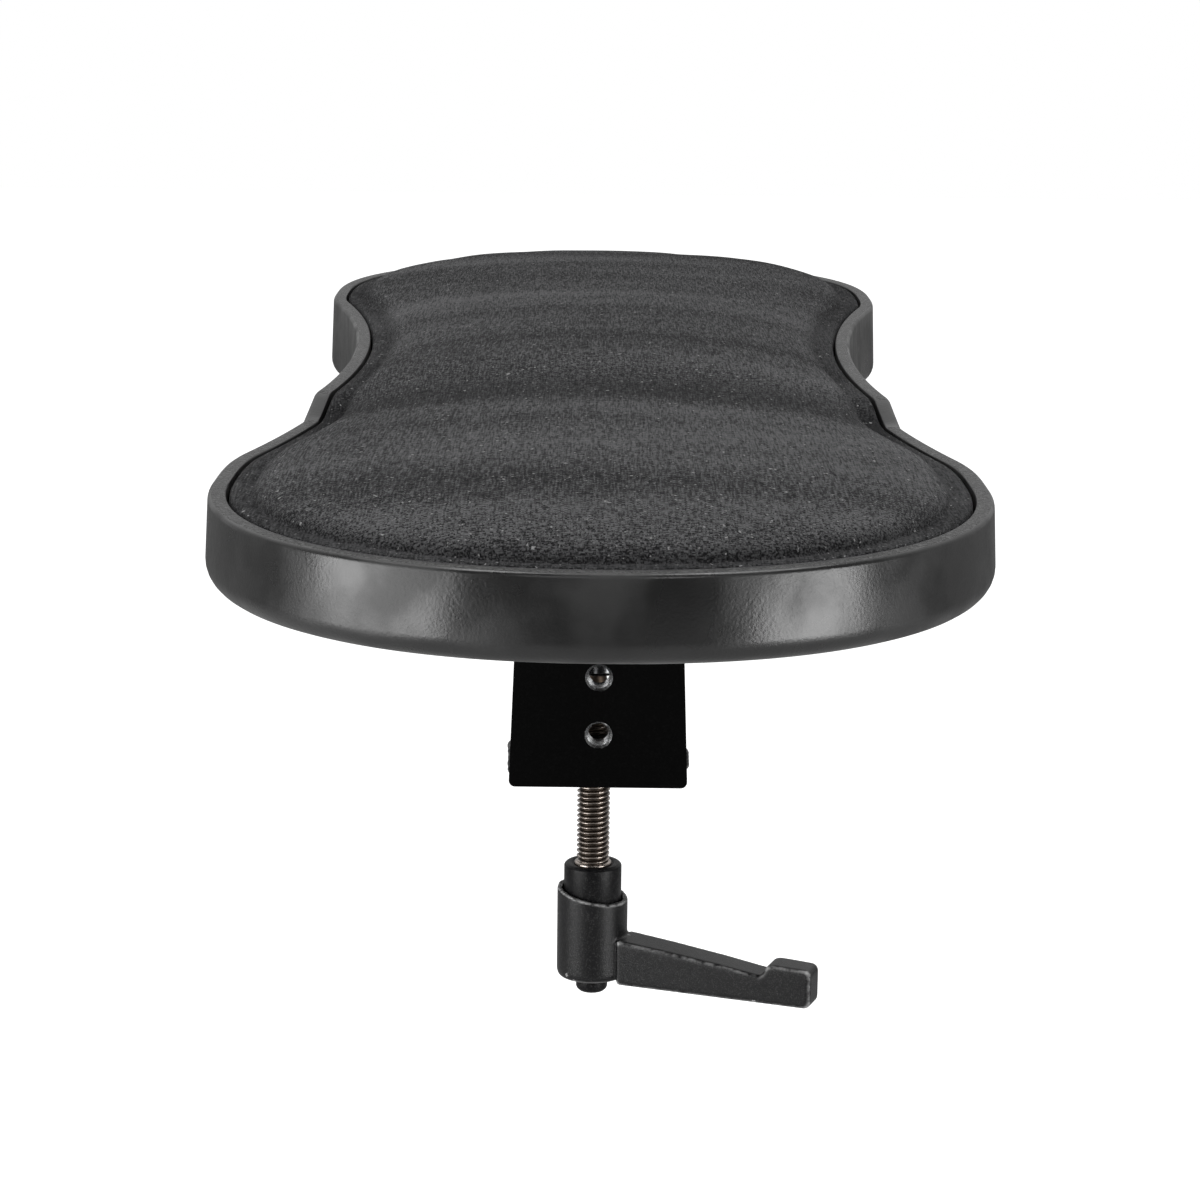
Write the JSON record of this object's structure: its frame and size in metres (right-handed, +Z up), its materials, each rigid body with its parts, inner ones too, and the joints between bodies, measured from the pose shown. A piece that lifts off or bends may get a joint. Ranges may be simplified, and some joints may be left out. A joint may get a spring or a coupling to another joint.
{
  "type": "chair armrest pad",
  "caption": "Long waisted fabric forearm pad in a plastic tray, swivelling on a steel C-bracket that a threaded clamp lever fixes to a desk edge or chair arm.",
  "frame": {"origin": "on the swivel axis, in the plane where the upper jaw's rubber pad rests on the desk top", "axes": "+Z up along the swivel axis, +Y along the pad's length away from the user's elbow, over the desk, +X to the right"},
  "size_m": [0.15, 0.456, 0.1641],
  "materials": {
    "cushion_fabric": "charcoal heathered woven upholstery fabric",
    "foam": "open cell polyurethane foam",
    "plywood": "raw plywood",
    "tray_plastic": "black moulded plastic, satin wall and grained rim",
    "black_powder_coat": "matt black powder coat",
    "cast_handle": "dark textured powder coat on die-cast zinc",
    "stud_steel": "plain rolled steel with a thin film of oil",
    "zinc_plate": "bright zinc plating",
    "weld_metal": "black coat over a weld bead",
    "nylon": "natural nylon",
    "rubber": "black rubber"
  },
  "bodies": {
    "bracket": {"clamp_bracket": "black_powder_coat", "jaw_pad": "rubber", "lower_arm": "black_powder_coat", "friction_washer": "nylon", "pivot_bolt": "zinc_plate", "disc_spring": "stud_steel", "nut_washer": "zinc_plate", "lock_nut": "zinc_plate", "weld_left": "weld_metal", "weld_right": "weld_metal", "weld_top": "weld_metal"},
    "pad": {"armrest_tray": "tray_plastic", "fabric_cover": "cushion_fabric", "foam_core": "foam", "base_board": "plywood", "swivel_plate": "black_powder_coat", "pivot_bush": "nylon", "plate_screw_1": "zinc_plate", "plate_screw_2": "zinc_plate", "plate_screw_3": "zinc_plate", "plate_screw_4": "zinc_plate", "board_screw_1": "zinc_plate", "board_screw_2": "zinc_plate", "board_screw_3": "zinc_plate", "board_screw_4": "zinc_plate"},
    "seat": {"ball_seat": "nylon"},
    "foot": {"pressure_foot": "zinc_plate", "foot_pad": "rubber"},
    "screw": {"clamp_stud": "stud_steel", "handle_insert": "cast_handle", "handle_screw": "cast_handle", "handle_spring": "stud_steel"},
    "lever": {"clamp_lever": "cast_handle"}
  },
  "joints": [
    {"name": "pad_swivel", "type": "hinge", "parent": "bracket", "child": "pad", "pos_m": [0, 0, 0.012], "axis": [0, 0, 1], "continuous": true},
    {"name": "screw_travel", "type": "slide", "parent": "bracket", "child": "seat", "axis": [0, 0, 1], "range_m": [-0.0138, 0.0251]},
    {"name": "screw_turn", "type": "hinge", "parent": "seat", "child": "screw", "pos_m": [-0.001, 0, -0.07], "axis": [0, 0, 1], "range_deg": [-3960, 7200]},
    {"name": "foot_tilt", "type": "hinge", "parent": "seat", "child": "foot", "pos_m": [-0.001, 0, -0.0386], "axis": [1, 0, 0], "range_deg": [-5, 5]},
    {"name": "lever_lift", "type": "slide", "parent": "screw", "child": "lever", "axis": [0, 0, -1], "range_m": [0, 0.0055], "stiffness_N_per_m": 600, "springref_m": -0.006, "deforming": ["handle_spring"]}
  ],
  "couplings": [
    {"joint": "screw_travel", "follows": "screw_turn", "m_per_rad": 0.00019894}
  ]
}
